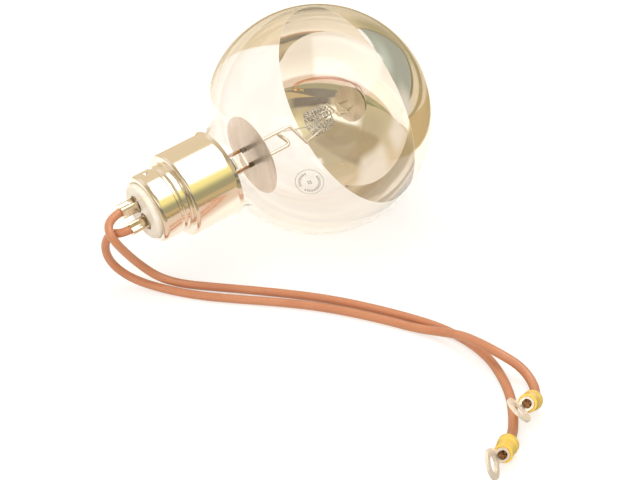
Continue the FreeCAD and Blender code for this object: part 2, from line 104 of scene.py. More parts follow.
class Ray(Enum):
    """Kinds of ray that a stage material can tell apart."""

    CAMERA = "Is Camera Ray"
    SHADOW = "Is Shadow Ray"
    DIFFUSE = "Is Diffuse Ray"
    GLOSSY = "Is Glossy Ray"
    TRANSMISSION = "Is Transmission Ray"


def mirrored(tree: bpy.types.NodeTree) -> bpy.types.NodeSocket:
    """Gives 1 where a ray has met a mirror or a shine on its way.

    Args:
        tree: Tree that takes the nodes.

    Returns:
        The socket with 0 or 1.
    """
    path = add_node(tree, "ShaderNodeLightPath")
    some = add_node(tree, "ShaderNodeMath", {"operation": "GREATER_THAN", 1: 0.5},
                    {0: path.outputs["Glossy Depth"]})
    return some.outputs[0]


def either_ray(tree: bpy.types.NodeTree, first: Ray, second: Ray) -> bpy.types.NodeSocket:
    """Gives 1 where a ray is of either kind.

    Args:
        tree: Tree that takes the nodes.
        first: One kind of ray.
        second: Another kind of ray.

    Returns:
        The socket with 0 or 1.
    """
    path = add_node(tree, "ShaderNodeLightPath")
    both = add_node(tree, "ShaderNodeMath", {"operation": "MAXIMUM"},
                    {0: path.outputs[first.value], 1: path.outputs[second.value]})
    return both.outputs[0]


@dataclass(frozen=True)
class Finish:
    """A surface as its maker would name it.

    Attributes:
        name: What it is made of and how its surface was made.
        slot: Material slot of the record; not used.
        colour: sRGB hex of the base.
        roughness: Microscopic roughness.
        metallic: 1 for bare metal.
        relief: Share of the bump that shows.
    """

    name: str
    slot: str
    colour: str
    roughness: float
    metallic: float = 0.0
    relief: float = 0.5

    def material(self) -> bpy.types.Material:
        """Makes the material once and gives the same one afterwards.

        Returns:
            The material.
        """
        known = bpy.data.materials.get(self.name)
        if known:
            return known
        made = bpy.data.materials.new(self.name)
        made.use_nodes = True
        tree = made.node_tree
        tree.nodes.clear()
        settings = {"Base Color": linear(self.colour), "Roughness": self.roughness, "Metallic": self.metallic}
        shader = add_node(tree, "ShaderNodeBsdfPrincipled", settings)
        add_node(tree, "ShaderNodeOutputMaterial", links={"Surface": shader.outputs[0]})
        self.detail(tree, shader)
        return made

    def detail(self, tree: bpy.types.NodeTree, shader: bpy.types.Node) -> None:
        """Adds what sets this finish apart; a plain finish adds nothing."""

    def bump(self, tree: bpy.types.NodeTree, shader: bpy.types.Node, height: bpy.types.NodeSocket,
             depth_mm: float) -> None:
        """Feeds a height into the shader's normal.

        Args:
            tree: The material's tree.
            shader: Shader that takes the normal.
            height: Height from 0 to 1.
            depth_mm: What a height of 1 stands for.
        """
        node = add_node(tree, "ShaderNodeBump", {"Distance": depth_mm * MM, "Strength": self.relief},
                        {"Height": height})
        tree.links.new(node.outputs[0], shader.inputs["Normal"])

    def noise(self, tree: bpy.types.NodeTree, size_mm: tuple[float, float, float], detail: float = 2.0,
              turn: tuple[float, float, float] = (0, 0, 0)) -> bpy.types.NodeSocket:
        """Gives a noise whose grains have a real size along each axis.

        Args:
            tree: The material's tree.
            size_mm: Grain size along x, y and z.
            detail: Octaves.
            turn: Turn of the pattern in radians.

        Returns:
            The factor socket.
        """
        place = add_node(tree, "ShaderNodeTexCoord")
        turned = add_node(tree, "ShaderNodeMapping", {"vector_type": "TEXTURE", "Rotation": turn},
                          {"Vector": place.outputs["Object"]})
        scale = Vector([1 / (s * MM) for s in size_mm])
        scaled = add_node(tree, "ShaderNodeMapping", {"Scale": scale}, {"Vector": turned.outputs[0]})
        node = add_node(tree, "ShaderNodeTexNoise", {"Scale": 1.0, "Detail": detail},
                        {"Vector": scaled.outputs[0]})
        return node.outputs["Fac"]

    def ramp(self, tree: bpy.types.NodeTree, factor: bpy.types.NodeSocket, low: str, high: str,
             start: float = NOISE_LOW, end: float = NOISE_HIGH) -> bpy.types.NodeSocket:
        """Blends two colours by a factor.

        Args:
            tree: The material's tree.
            factor: Where the blend stands.
            low: sRGB hex at the start.
            high: sRGB hex at the end.
            start: Factor at which the blend starts.
            end: Factor at which it ends.

        Returns:
            The colour socket.
        """
        node = add_node(tree, "ShaderNodeValToRGB", links={"Fac": factor})
        first, last = node.color_ramp.elements
        first.position, first.color = start, linear(low)
        last.position, last.color = end, linear(high)
        return node.outputs["Color"]

    def spread(self, tree: bpy.types.NodeTree, factor: bpy.types.NodeSocket, low: float,
               high: float) -> bpy.types.NodeSocket:
        """Maps a factor from the middle of a noise to a range of values.

        Args:
            tree: The material's tree.
            factor: The noise.
            low: Value at its low end.
            high: Value at its high end.

        Returns:
            The value's socket.
        """
        node = add_node(tree, "ShaderNodeMapRange", {
            "From Min": NOISE_LOW, "From Max": NOISE_HIGH, "To Min": low, "To Max": high}, {"Value": factor})
        return node.outputs[0]


@dataclass(frozen=True)
class BlownGlass(Finish):
    """Soda-lime glass, blown: clear, gloss, with long shallow waves from the mould."""

    wave_mm: float = 22.0
    wave_depth_mm: float = 0.014
    lamp_tint: str = "#FEFCF8"
    bend: float = 1.52

    def detail(self, tree: bpy.types.NodeTree, shader: bpy.types.Node) -> None:
        """Lets light bend through it, and lets lamps and soft light reach what is inside.

        Args:
            tree: The material's tree.
            shader: Its main shader.
        """
        shader.inputs["Transmission Weight"].default_value = 1.0
        shader.inputs["IOR"].default_value = self.bend
        self.bump(tree, shader, self.noise(tree, (self.wave_mm,) * 3, detail=0.0), self.wave_depth_mm)
        clear = add_node(tree, "ShaderNodeBsdfTransparent", {"Color": linear(self.lamp_tint)})
        lit = add_node(tree, "ShaderNodeMixShader",
                       links={0: either_ray(tree, Ray.SHADOW, Ray.DIFFUSE), 1: shader.outputs[0],
                              2: clear.outputs[0]})
        tree.links.new(lit.outputs[0], tree.nodes["Material Output"].inputs["Surface"])


@dataclass(frozen=True)
class MirrorCoat(Finish):
    """Metal coat laid on blown glass in a vacuum: a mirror that keeps the glass's waves."""

    relief: float = 0.6
    wave_mm: float = 14.0
    wave_depth_mm: float = 0.06

    def detail(self, tree: bpy.types.NodeTree, shader: bpy.types.Node) -> None:
        """Bends the reflections a little, as the glass under the coat does.

        Args:
            tree: The material's tree.
            shader: Its main shader.
        """
        self.bump(tree, shader, self.noise(tree, (self.wave_mm,) * 3, detail=1.0), self.wave_depth_mm)


@dataclass(frozen=True)
class DrawnPlate(Finish):
    """Sheet or wire drawn and plated: bright, with fine lines the way it was drawn."""

    relief: float = 0.35
    line_mm: float = 0.25
    line_length_mm: float = 9.0
    line_depth_mm: float = 0.004
    shine_range: float = 0.05

    def detail(self, tree: bpy.types.NodeTree, shader: bpy.types.Node) -> None:
        """Breaks the shine up along the drawn lines, which follow the lamp's axis.

        Args:
            tree: The material's tree.
            shader: Its main shader.
        """
        size = (self.line_length_mm, self.line_mm, self.line_mm)
        lines = self.noise(tree, size, detail=3.0, turn=(0, LAMP_TILT, 0))
        shine = self.spread(tree, lines, self.roughness - self.shine_range, self.roughness + self.shine_range)
        tree.links.new(shine, shader.inputs["Roughness"])
        self.bump(tree, shader, lines, self.line_depth_mm)


@dataclass(frozen=True)
class RolledSheet(Finish):
    """Cold-rolled sheet, punched: satin, with streaks of lighter and darker metal."""

    relief: float = 0.2
    streak_mm: float = 3.0
    streak_length_mm: float = 60.0
    streak_depth_mm: float = 0.002
    shine_shares: tuple[float, float] = (0.9, 1.15)
    dark: str = "#E6D7CC"

    def detail(self, tree: bpy.types.NodeTree, shader: bpy.types.Node) -> None:
        """Lays streaks across the disc in colour, shine and height.

        Args:
            tree: The material's tree.
            shader: Its main shader.
        """
        size = (self.streak_length_mm, self.streak_mm, self.streak_length_mm)
        streaks = self.noise(tree, size, detail=1.0)
        tree.links.new(self.ramp(tree, streaks, self.dark, self.colour), shader.inputs["Base Color"])
        low, high = (self.roughness * share for share in self.shine_shares)
        shine = self.spread(tree, streaks, low, high)
        tree.links.new(shine, shader.inputs["Roughness"])
        self.bump(tree, shader, streaks, self.streak_depth_mm)


@dataclass(frozen=True)
class PressedCeramic(Finish):
    """Steatite, pressed and fired without glaze: pale, dense, with fine grains and pores."""

    grain_mm: float = 0.35
    grain_depth_mm: float = 0.03
    cloud_mm: float = 4.0
    glow: float = 0.15
    glow_mm: float = 1.5
    shade: str = "#F3E6D2"

    def detail(self, tree: bpy.types.NodeTree, shader: bpy.types.Node) -> None:
        """Adds grains, faint clouds and a little light below the surface.

        Args:
            tree: The material's tree.
            shader: Its main shader.
        """
        shader.inputs["Subsurface Weight"].default_value = self.glow
        shader.inputs["Subsurface Scale"].default_value = self.glow_mm * MM
        clouds = self.noise(tree, (self.cloud_mm,) * 3, detail=4.0)
        tree.links.new(self.ramp(tree, clouds, self.shade, self.colour), shader.inputs["Base Color"])
        self.bump(tree, shader, self.noise(tree, (self.grain_mm,) * 3, detail=3.0), self.grain_depth_mm)


@dataclass(frozen=True)
class ExtrudedRubber(Finish):
    """Silicone rubber, extruded: satin and soft to the light, with a dry bloom."""

    relief: float = 0.3
    shade: str = "#C27E59"
    cloud_mm: float = 14.0
    cloud_span: tuple[float, float] = (0.2, 0.8)
    grain_mm: float = 0.3
    grain_depth_mm: float = 0.008
    shine_steps: tuple[float, float] = (-0.06, 0.08)
    bloom: float = 0.15
    bloom_roughness: float = 0.3
    skin: float = 0.6
    skin_roughness: float = 0.16
    glow: float = 0.12
    glow_mm: float = 0.8

    def detail(self, tree: bpy.types.NodeTree, shader: bpy.types.Node) -> None:
        """Adds bloom, clouds, grain and the shine of its smooth skin.

        Args:
            tree: The material's tree.
            shader: Its main shader.
        """
        shader.inputs["Sheen Weight"].default_value = self.bloom
        shader.inputs["Sheen Roughness"].default_value = self.bloom_roughness
        shader.inputs["Coat Weight"].default_value = self.skin
        shader.inputs["Coat Roughness"].default_value = self.skin_roughness
        shader.inputs["Subsurface Weight"].default_value = self.glow
        shader.inputs["Subsurface Scale"].default_value = self.glow_mm * MM
        clouds = self.noise(tree, (self.cloud_mm,) * 3, detail=1.0)
        clouded = self.ramp(tree, clouds, self.shade, self.colour, *self.cloud_span)
        tree.links.new(clouded, shader.inputs["Base Color"])
        grain = self.noise(tree, (self.grain_mm,) * 3, detail=2.0)
        low, high = (self.roughness + step for step in self.shine_steps)
        shine = self.spread(tree, grain, low, high)
        tree.links.new(shine, shader.inputs["Roughness"])
        self.bump(tree, shader, grain, self.grain_depth_mm)


@dataclass(frozen=True)
class MottledSkin(Finish):
    """Surface with a mottled skin, such as a tin dip, an oxide, a crimped plate or a fired ink; on the
    filament the mottle is painted highlights and painted shade.
    """

    mottle_mm: float = 1.2
    mottle_span: tuple[float, float] = (0.25, 0.6)
    shine_shares: tuple[float, float] = (1.3, 0.8)
    dark: str = "#3A332A"
    dent_mm: float = 0.02

    def detail(self, tree: bpy.types.NodeTree, shader: bpy.types.Node) -> None:
        """Mottles colour, shine and height together.

        Args:
            tree: The material's tree.
            shader: Its main shader.
        """
        mottle = self.noise(tree, (self.mottle_mm,) * 3, detail=4.0)
        mottled = self.ramp(tree, mottle, self.dark, self.colour, *self.mottle_span)
        tree.links.new(mottled, shader.inputs["Base Color"])
        low, high = (self.roughness * share for share in self.shine_shares)
        shine = self.spread(tree, mottle, low, high)
        tree.links.new(shine, shader.inputs["Roughness"])
        self.bump(tree, shader, mottle, self.dent_mm)


@dataclass(frozen=True)
class ClearVinyl(Finish):
    """Vinyl tube, dyed and clear: light enters its wall and leaves it at the rims."""

    relief: float = 0.3
    passing: float = 0.02
    bend: float = 1.53
    skin: float = 0.5
    glow: float = 0.4
    glow_mm: float = 0.3
    glow_reach: tuple[float, float, float] = (1.0, 0.6, 0.2)
    ripple_mm: float = 0.8
    ripple_depth_mm: float = 0.02

    def detail(self, tree: bpy.types.NodeTree, shader: bpy.types.Node) -> None:
        """Lets part of the light through and spreads some in the wall, red further than blue.

        Args:
            tree: The material's tree.
            shader: Its main shader.
        """
        shader.inputs["Transmission Weight"].default_value = self.passing
        shader.inputs["IOR"].default_value = self.bend
        shader.inputs["Coat Weight"].default_value = self.skin
        shader.inputs["Subsurface Weight"].default_value = self.glow
        shader.inputs["Subsurface Radius"].default_value = self.glow_reach
        shader.inputs["Subsurface Scale"].default_value = self.glow_mm * MM
        self.bump(tree, shader, self.noise(tree, (self.ripple_mm,) * 3, detail=2.0), self.ripple_depth_mm)


# Blown soda-lime glass: almost unseen, a warm tint where it is looked through at a slant
GLOBE_GLASS = BlownGlass("blown_soda_lime_glass", "clear_glass", "#FFFDFA", 0.0)
# Pressed lead glass of the stem: thicker, so its bends show as bright and dark lines
STEM_GLASS = BlownGlass("pressed_lead_glass", "stem_glass", "#FDFBF7", 0.02, wave_mm=2.5, wave_depth_mm=0.35,
                        bend=1.56)
# Vacuum-laid silver: a full mirror with a trace of warmth
CROWN_SILVER = MirrorCoat("vacuum_silvered_coat", "crown_silver", "#F6F2EC", 0.012, 1.0)
# Polished nickel plate on a drawn brass shell: soft-edged reflections, warm
CAP_NICKEL = DrawnPlate("polished_nickel_plate", "nickel_cap", "#F3EBDF", 0.13, 1.0)
# Drawn nickel rod: bright with fine lengthwise lines
ROD_NICKEL = DrawnPlate("drawn_nickel_rod", "nickel_rod", "#EEE7DD", 0.16, 1.0, line_mm=0.1)
# Cold-rolled steel disc: satin, rosy grey, with faint streaks
SHIELD_STEEL = RolledSheet("cold_rolled_steel", "shield_steel", "#F6E9E0", 0.34, 0.65)
# Unglazed steatite: pale cream and matt
PLUG_STEATITE = PressedCeramic("pressed_steatite", "cream_ceramic", "#FBF1E1", 0.3)
# Baked cap cement: grainy, greyer than the ceramic
CAP_CEMENT = PressedCeramic("baked_cap_cement", "cap_cement", "#E2D6C2", 0.8, shade="#C9B99C")
# Copper-clad wire with a borated skin: amber through the glass
SEAL_COPPER = MottledSkin("borated_copper_clad_wire", "copper_wire", "#EDA94A", 0.3, 0.7, dark="#B9711F")
# Heat-darkened nickel tube at the welds
JOINT_NICKEL = MottledSkin("heat_darkened_nickel", "dark_nickel", "#8A7F6C", 0.3, 1.0)
# Coiled tungsten: a fine mottle of near-white and near-black paints highlights on the turns and shade between
# them
COIL_TUNGSTEN_PAINTED_LIGHT = MottledSkin("coiled_tungsten_painted_light", "tungsten", "#FFFDF8", 0.2, 0.6, dark="#2A241E", mottle_mm=0.5)
# Nickel-plated crimp sleeves: bright with pressed-in dents
CRIMP_NICKEL = MottledSkin("pressed_nickel_plate", "plated_sleeve", "#F3EBDD", 0.2, 1.0, dark="#DDD1BD",
                           mottle_mm=2.2, dent_mm=0.05)
# Extruded silicone rubber: terracotta, satin
LEAD_SILICONE = ExtrudedRubber("extruded_silicone_rubber", "brown_silicone", "#CF8C64", 0.36)
# Tin-dipped copper stamping: pale and a little uneven
TERMINAL_TIN = MottledSkin("tin_dipped_copper", "tinned_copper", "#FFF3E4", 0.4, 0.45, dark="#F1E0CB")
# Clear yellow vinyl: warm and bright, with a little light in its wall
SLEEVE_VINYL = ClearVinyl("clear_yellow_vinyl", "yellow_sleeve", "#FFD35C", 0.2)
# Bare stranded copper, with a fine mottle of copper and near-black
STRAND_COPPER = MottledSkin("mottled_copper_strand", "copper_strand", "#B98A66", 0.22, 1.0, dark="#2B1D13",
                            mottle_mm=0.35)
# Grey-brown ink fired on the glass: thin and matt; of the record's slots the dark one is nearest
FIRED_INK = MottledSkin("fired_glass_ink", "dark_nickel", "#8F877D", 0.55, dark="#7B7369", mottle_mm=0.4,
                        dent_mm=0.002)


@dataclass(frozen=True)
class SubAssembly:
    """Solids that are made and fitted together, each with its own finish.

    Attributes:
        name: What a maker would call them.
        finishes: Finish by the solid's name.
    """

    name: str
    finishes: dict[str, Finish]

    def dress(self) -> None:
        """Gives each carried-over solid its finish in place of the plain one."""
        for solid, finish in self.finishes.items():
            materials = frame["nodes"][solid].data.materials
            materials.clear()
            materials.append(finish.material())
            LOG.info("%s: dressed %s with %s", self.name, solid, finish.name)


ENVELOPE = SubAssembly("envelope", {"globe": GLOBE_GLASS, "crown_mirror": CROWN_SILVER})
CAP = SubAssembly("cap", {
    "cap_shell": CAP_NICKEL, "neck_cement": CAP_CEMENT, "insulator": PLUG_STEATITE,
    "crimp_sleeve_upper": CRIMP_NICKEL, "crimp_sleeve_lower": CRIMP_NICKEL,
})
STEM = SubAssembly("stem", {
    "stem": STEM_GLASS, "exhaust_tube": STEM_GLASS,
    "seal_wire_upper": SEAL_COPPER, "seal_wire_lower": SEAL_COPPER,
    "joint_sleeve_upper": JOINT_NICKEL, "joint_sleeve_lower": JOINT_NICKEL,
})
MOUNT = SubAssembly("filament mount", {
    "heat_shield": SHIELD_STEEL, "support_rod_upper": ROD_NICKEL, "support_rod_lower": ROD_NICKEL,
    "filament_post": ROD_NICKEL, "support_wire_upper": ROD_NICKEL, "support_wire_lower": ROD_NICKEL,
    # the filament's mottle is painted highlights and painted shade
    "filament": COIL_TUNGSTEN_PAINTED_LIGHT,
})
LEAD_ENDS = SubAssembly("lead ends", {
    "ring_terminal_front": TERMINAL_TIN, "ring_terminal_rear": TERMINAL_TIN,
    "terminal_sleeve_front": SLEEVE_VINYL, "terminal_sleeve_rear": SLEEVE_VINYL,
    "strand_end_front": STRAND_COPPER, "strand_end_rear": STRAND_COPPER,
})


def add_piece(name: str, data: bpy.types.ID, finish: Finish) -> bpy.types.Object:
    """Puts a new piece on the lamp's body with its finish.

    Args:
        name: The piece's name.
        data: Its mesh or curve.
        finish: Its surface.

    Returns:
        The object.
    """
    piece = bpy.data.objects.new(name, data)
    bpy.context.scene.collection.objects.link(piece)
    data.materials.append(finish.material())
    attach(piece, BODY)
    LOG.info("made %s from %s", name, finish.name)
    return piece


class LeadEnd(Enum):
    """Which ring terminal a lead ends in."""

    FRONT = "front"
    REAR = "rear"


@dataclass
class Lead:
    """A silicone lead, from its crimp sleeve to its ring terminal.

    Attributes:
        name: Upper or lower, as it leaves the cap.
        end: The terminal that it ends in; not used.
        length_mm: Its length, seen from end to end; not used.
        route_mm: Its route, from the bottom of the crimp sleeve's recess.
        diameter_mm: Diameter of the insulation.
        steps: Steps along each stretch between two points of the route.
        round_steps: Steps in each quarter of its round section.
    """

    name: str
    end: LeadEnd
    length_mm: float
    route_mm: list[tuple[float, float, float]]
    diameter_mm: float = 3.4
    steps: int = 12
    round_steps: int = 10

    def build(self) -> bpy.types.Object:
        """Lays the lead along its route and hides the plain lead that it replaces.

        Returns:
            The lead.
        """
        curve = bpy.data.curves.new("lead_" + self.name + "_rubber", "CURVE")
        curve.dimensions = "3D"
        curve.resolution_u = self.steps
        curve.bevel_depth = self.diameter_mm / 2 * MM
        curve.bevel_resolution = self.round_steps
        curve.use_fill_caps = True
        spline = curve.splines.new("NURBS")
        spline.points.add(len(self.route_mm) - 1)
        for point, place in zip(spline.points, self.route_mm):
            point.co = (*(Vector(place) * MM), 1.0)
        spline.order_u = 3
        spline.use_endpoint_u = True
        piece = add_piece(curve.name, curve, LEAD_SILICONE)
        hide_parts("lead_" + self.name)
        return piece


UPPER_LEAD = Lead("upper", LeadEnd.FRONT, 233.0, [
    (-68.878, 2.458, 33.916), (-72.421, 2.458, 33.279),
    (-76.6, 1.2, 30.6), (-77.3, -3.0, 27.3), (-72.7, -3.0, 20.0), (-66.9, -3.1, 12.2),
    (-60.8, -6.3, 5.6), (-53.5, -11.9, 2.4), (-43.8, -20.9, 1.8), (-33.6, -31.6, 1.8),
    (-23.4, -42.8, 1.8), (-13.8, -54.6, 1.8), (-5.5, -67.6, 1.8), (1.8, -81.4, 1.8),
    (7.7, -95.1, 1.8), (9.7, -108.1, 1.8), (8.4, -120.4, 1.8), (3.9, -132.0, 1.8),
    (-2.3, -142.3, 1.8), (-9.2, -150.1, 1.8), (-16.2, -156.7, 2.1), (-23.3, -161.0, 4.1),
])
LOWER_LEAD = Lead("lower", LeadEnd.REAR, 220.0, [
    (-67.851, -2.458, 28.211), (-72.378, -2.458, 27.397),
    (-74.6, 2.2, 26.4), (-76.5, 4.6, 22.3), (-75.9, 6.4, 15.5), (-73.1, 5.4, 9.0),
    (-67.7, 0.8, 3.5), (-60.9, -9.9, 1.9), (-52.0, -22.8, 1.8), (-41.6, -33.7, 1.8),
    (-31.0, -44.2, 1.8), (-21.3, -54.9, 1.8), (-12.7, -66.9, 1.8), (-5.2, -79.8, 1.8),
    (0.2, -90.7, 1.8), (4.2, -99.4, 3.4), (5.1, -109.4, 7.0), (5.4, -118.7, 8.4),
    (6.4, -127.2, 8.4), (10.2, -133.9, 5.2), (9.6, -141.0, 2.4), (5.0, -146.9, 1.8),
    (-1.3, -150.2, 5.4),
])


@dataclass
class CoilCage:
    """Filament: one coiled wire that runs up and down in legs, in a cage about the lamp's axis.

    Attributes:
        radius_mm: Circle that the legs stand on.
        half_length_mm: Half a leg's length.
        legs: How many legs.
        first_deg: Turn of the first leg about the axis.
        coil_mm: Outer diameter of a leg's coil.
        wire_mm: Drawn diameter of the wire, coarser than the real one so that its turns show.
        pitch_mm: From one turn to the next.
        tail_mm: Plain wire at each end of a leg.
        steps: Points in one turn.
        round_steps: Steps in each quarter of the wire's round section.
    """

    radius_mm: float = 4.3
    half_length_mm: float = 4.3
    legs: int = 8
    first_deg: float = -90.0
    coil_mm: float = 2.3
    wire_mm: float = 0.5
    pitch_mm: float = 1.5
    tail_mm: float = 0.5
    steps: int = 12
    round_steps: int = 1

    def leg(self, number: int) -> list[Vector]:
        """Winds one leg in the lamp's own frame, up on an even number and down on an odd one.

        Args:
            number: Which leg, from 0.

        Returns:
            The wire's points in millimetres.
        """
        turn = math.radians(self.first_deg + 360 / self.legs * number)
        outward = Vector((0, math.cos(turn), math.sin(turn)))
        along = Vector((1 if number % 2 == 0 else -1, 0, 0))
        foot = outward * self.radius_mm - along * self.half_length_mm
        aside = along.cross(outward)
        wound = 2 * (self.half_length_mm - self.tail_mm)
        count = round(wound / self.pitch_mm * self.steps)
        arm = (self.coil_mm - self.wire_mm) / 2
        points = [foot]
        for step in range(count + 1):
            angle = math.tau * step / self.steps
            ring = outward * math.cos(angle) + aside * math.sin(angle)
            points.append(foot + along * (self.tail_mm + wound * step / count) + ring * arm)
        points.append(foot + along * 2 * self.half_length_mm)
        return points

    def build(self) -> bpy.types.Object:
        """Winds all legs from one wire and sets the cage where the plain one stands.

        Returns:
            The coiled wire.
        """
        low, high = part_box("filament")
        middle = (Vector(low) + Vector(high)) / 2
        level = Matrix.Rotation(-LAMP_TILT, 3, "Y")
        curve = bpy.data.curves.new("filament_coils", "CURVE")
        curve.dimensions = "3D"
        curve.bevel_depth = self.wire_mm / 2 * MM
        curve.bevel_resolution = self.round_steps
        curve.use_fill_caps = True
        points = [point for number in range(self.legs) for point in self.leg(number)]
        spline = curve.splines.new("POLY")
        spline.points.add(len(points) - 1)
        for place, point in zip(spline.points, points):
            place.co = (*(middle + level @ point * MM), 1.0)
        # the coil's mottle is painted highlights and painted shade between its turns
        piece = add_piece(curve.name, curve, COIL_TUNGSTEN_PAINTED_LIGHT)
        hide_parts("filament")
        return piece


@dataclass
class GlassStamp:
    """Ring of plain bars fired on the globe, where a lamp carries its rating.

    Attributes:
        toward: From the globe's middle to the mark's middle.
        ring_mm: Radius of the thin circle.
        ring_faces: How many faces it has.
        line_mm: Its width.
        bars_mm: Inner and outer radius of the bars.
        arcs_deg: First and last turn of each arc of bars, and how many it has.
        bar_share: Share of the pitch that a bar covers.
        core_mm: Inner and outer radius of the small mark in the middle.
        proud_mm: Height over the glass.
    """

    toward: tuple[float, float, float] = (-31.2, -35.5, -4.6)
    ring_mm: float = 5.5
    ring_faces: int = 96
    line_mm: float = 0.16
    bars_mm: tuple[float, float] = (3.4, 4.4)
    arcs_deg: tuple[tuple[float, float, int], ...] = ((-30.0, 75.0, 8), (135.0, 305.0, 13))
    bar_share: float = 0.42
    core_mm: tuple[float, float] = (0.3, 0.9)
    proud_mm: float = 0.03

    def place(self, reach_mm: float, turn: float) -> Vector:
        """Gives a point on the glass.

        Args:
            reach_mm: Distance from the mark's middle, along the glass.
            turn: Turn about the mark's middle, in radians.

        Returns:
            The point in metres.
        """
        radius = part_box("globe")[1][2] / 2
        mount = frame["record"]["mounts"][0]
        seat, axis = Vector(mount["pos_m"]), Vector(mount["axis"])
        middle = seat + axis * (radius - seat.z) / axis.z
        outward = Vector(self.toward).normalized()
        aside = outward.cross(Vector((0, 0, 1))).normalized()
        upward = aside.cross(outward)
        bend = reach_mm * MM / radius
        tangent = aside * math.cos(turn) + upward * math.sin(turn)
        return middle + (outward * math.cos(bend) + tangent * math.sin(bend)) * (radius + self.proud_mm * MM)

    def patch(self, mesh: bmesh.types.BMesh, reach: tuple[float, float], turns: tuple[float, float],
              count: int) -> None:
        """Lays one stretch of a ring.

        Args:
            mesh: Mesh that takes the faces.
            reach: Inner and outer radius in millimetres.
            turns: First and last turn in radians.
            count: Number of faces.
        """
        rows = []
        for step in range(count + 1):
            turn = turns[0] + (turns[1] - turns[0]) * step / count
            rows.append([mesh.verts.new(self.place(r, turn)) for r in reach])
        for (a, b), (c, d) in zip(rows, rows[1:]):
            mesh.faces.new((a, b, d, c))

    def build(self) -> bpy.types.Object:
        """Prints the circle, the bars and the mark in the middle.

        Returns:
            The printed mark.
        """
        mesh = bmesh.new()
        half = self.line_mm / 2
        self.patch(mesh, (self.ring_mm - half, self.ring_mm + half), (0, math.tau), self.ring_faces)
        for first, last, number in self.arcs_deg:
            pitch = math.radians(last - first) / number
            for bar in range(number):
                start = math.radians(first) + pitch * bar
                self.patch(mesh, self.bars_mm, (start, start + pitch * self.bar_share), 2)
        for quarter in range(4):
            start = math.tau / 4 * quarter
            self.patch(mesh, self.core_mm, (start, start + math.tau / 8), 3)
        bmesh.ops.remove_doubles(mesh, verts=mesh.verts, dist=self.proud_mm * MM / 10)
        data = bpy.data.meshes.new("glass_stamp")
        mesh.to_mesh(data)
        mesh.free()
        piece = add_piece(data.name, data, FIRED_INK)
        skin = piece.modifiers.new("ink_film", "SOLIDIFY")
        skin.thickness = self.proud_mm / 2 * MM
        return piece


@dataclass(frozen=True)
class Panel:
    """A lit or dark area of the room, as far away as the sky, in degrees.

    Attributes:
        azimuth: Turn of its middle to the right of the studio's heading.
        height: Elevation of its middle.
        half_width: Half its width.
        half_height: Half its height.
        colour: sRGB hex.
        strength: Light over plain white.
        edge: Share of its half size over which it fades.
    """

    azimuth: float
    height: float
    half_width: float
    half_height: float
    colour: str
    strength: float = 1.0
    edge: float = 0.1

    def mask(self, tree: bpy.types.NodeTree, way: bpy.types.NodeSocket,
             heading: Vector) -> bpy.types.NodeSocket:
        """Gives 1 inside the panel.

        Args:
            tree: The world's tree.
            way: Direction of the ray.
            heading: The studio's level heading.

        Returns:
            The mask's socket.
        """
        turn, rise = math.radians(self.azimuth), math.radians(self.height)
        level = Matrix.Rotation(-turn, 3, "Z") @ heading
        middle = level * math.cos(rise) + Vector((0, 0, math.sin(rise)))
        across = level.cross(Vector((0, 0, 1)))
        up = across.cross(middle)
        dots = [add_node(tree, "ShaderNodeVectorMath", {"operation": "DOT_PRODUCT", 1: axis}, {0: way})
                for axis in (middle, across, up)]
        ahead = add_node(tree, "ShaderNodeMath", {"operation": "MAXIMUM", 1: 0.001},
                         {0: dots[0].outputs["Value"]})
        masks = []
        for dot, half_angle in ((dots[1], self.half_width), (dots[2], self.half_height)):
            half = math.tan(math.radians(half_angle))
            share = add_node(tree, "ShaderNodeMath", {"operation": "DIVIDE"},
                             {0: dot.outputs["Value"], 1: ahead.outputs[0]})
            size = add_node(tree, "ShaderNodeMath", {"operation": "ABSOLUTE"}, {0: share.outputs[0]})
            masks.append(add_node(tree, "ShaderNodeMapRange", {
                "interpolation_type": "SMOOTHSTEP", "From Min": half * (1 + self.edge),
                "From Max": half * (1 - self.edge)}, {"Value": size.outputs[0]}))
        both = add_node(tree, "ShaderNodeMath", {"operation": "MULTIPLY"},
                        {0: masks[0].outputs[0], 1: masks[1].outputs[0]})
        return both.outputs[0]


@dataclass(frozen=True)
class SheetZone:
    """A stretch of the table that mirrors and glass show in another tone.

    Attributes:
        turn: Which way it lies, in degrees to the right of the studio's heading.
        from_mm: Where it starts.
        soft_mm: Over which length it starts.
        colour: sRGB hex.
        in_glass: Whether plain glass shows it too.
    """

    turn: float
    from_mm: float
    soft_mm: float
    colour: str
    in_glass: bool = False

    def mask(self, tree: bpy.types.NodeTree, heading: Vector) -> bpy.types.NodeSocket:
        """Gives 1 in the zone, for the rays that show it.

        Args:
            tree: The floor's tree.
            heading: The studio's level heading.

        Returns:
            The mask's socket.
        """
        place = add_node(tree, "ShaderNodeTexCoord")
        level = Matrix.Rotation(-math.radians(self.turn), 3, "Z") @ heading
        along = add_node(tree, "ShaderNodeVectorMath", {"operation": "DOT_PRODUCT", 1: level},
                         {0: place.outputs["Object"]})
        inside = add_node(tree, "ShaderNodeMapRange", {
            "interpolation_type": "SMOOTHSTEP", "From Min": self.from_mm * MM,
            "From Max": (self.from_mm + self.soft_mm) * MM}, {"Value": along.outputs["Value"]})
        shown = either_ray(tree, Ray.GLOSSY, Ray.TRANSMISSION) if self.in_glass else mirrored(tree)
        both = add_node(tree, "ShaderNodeMath", {"operation": "MULTIPLY"}, {0: inside.outputs[0], 1: shown})
        return both.outputs[0]


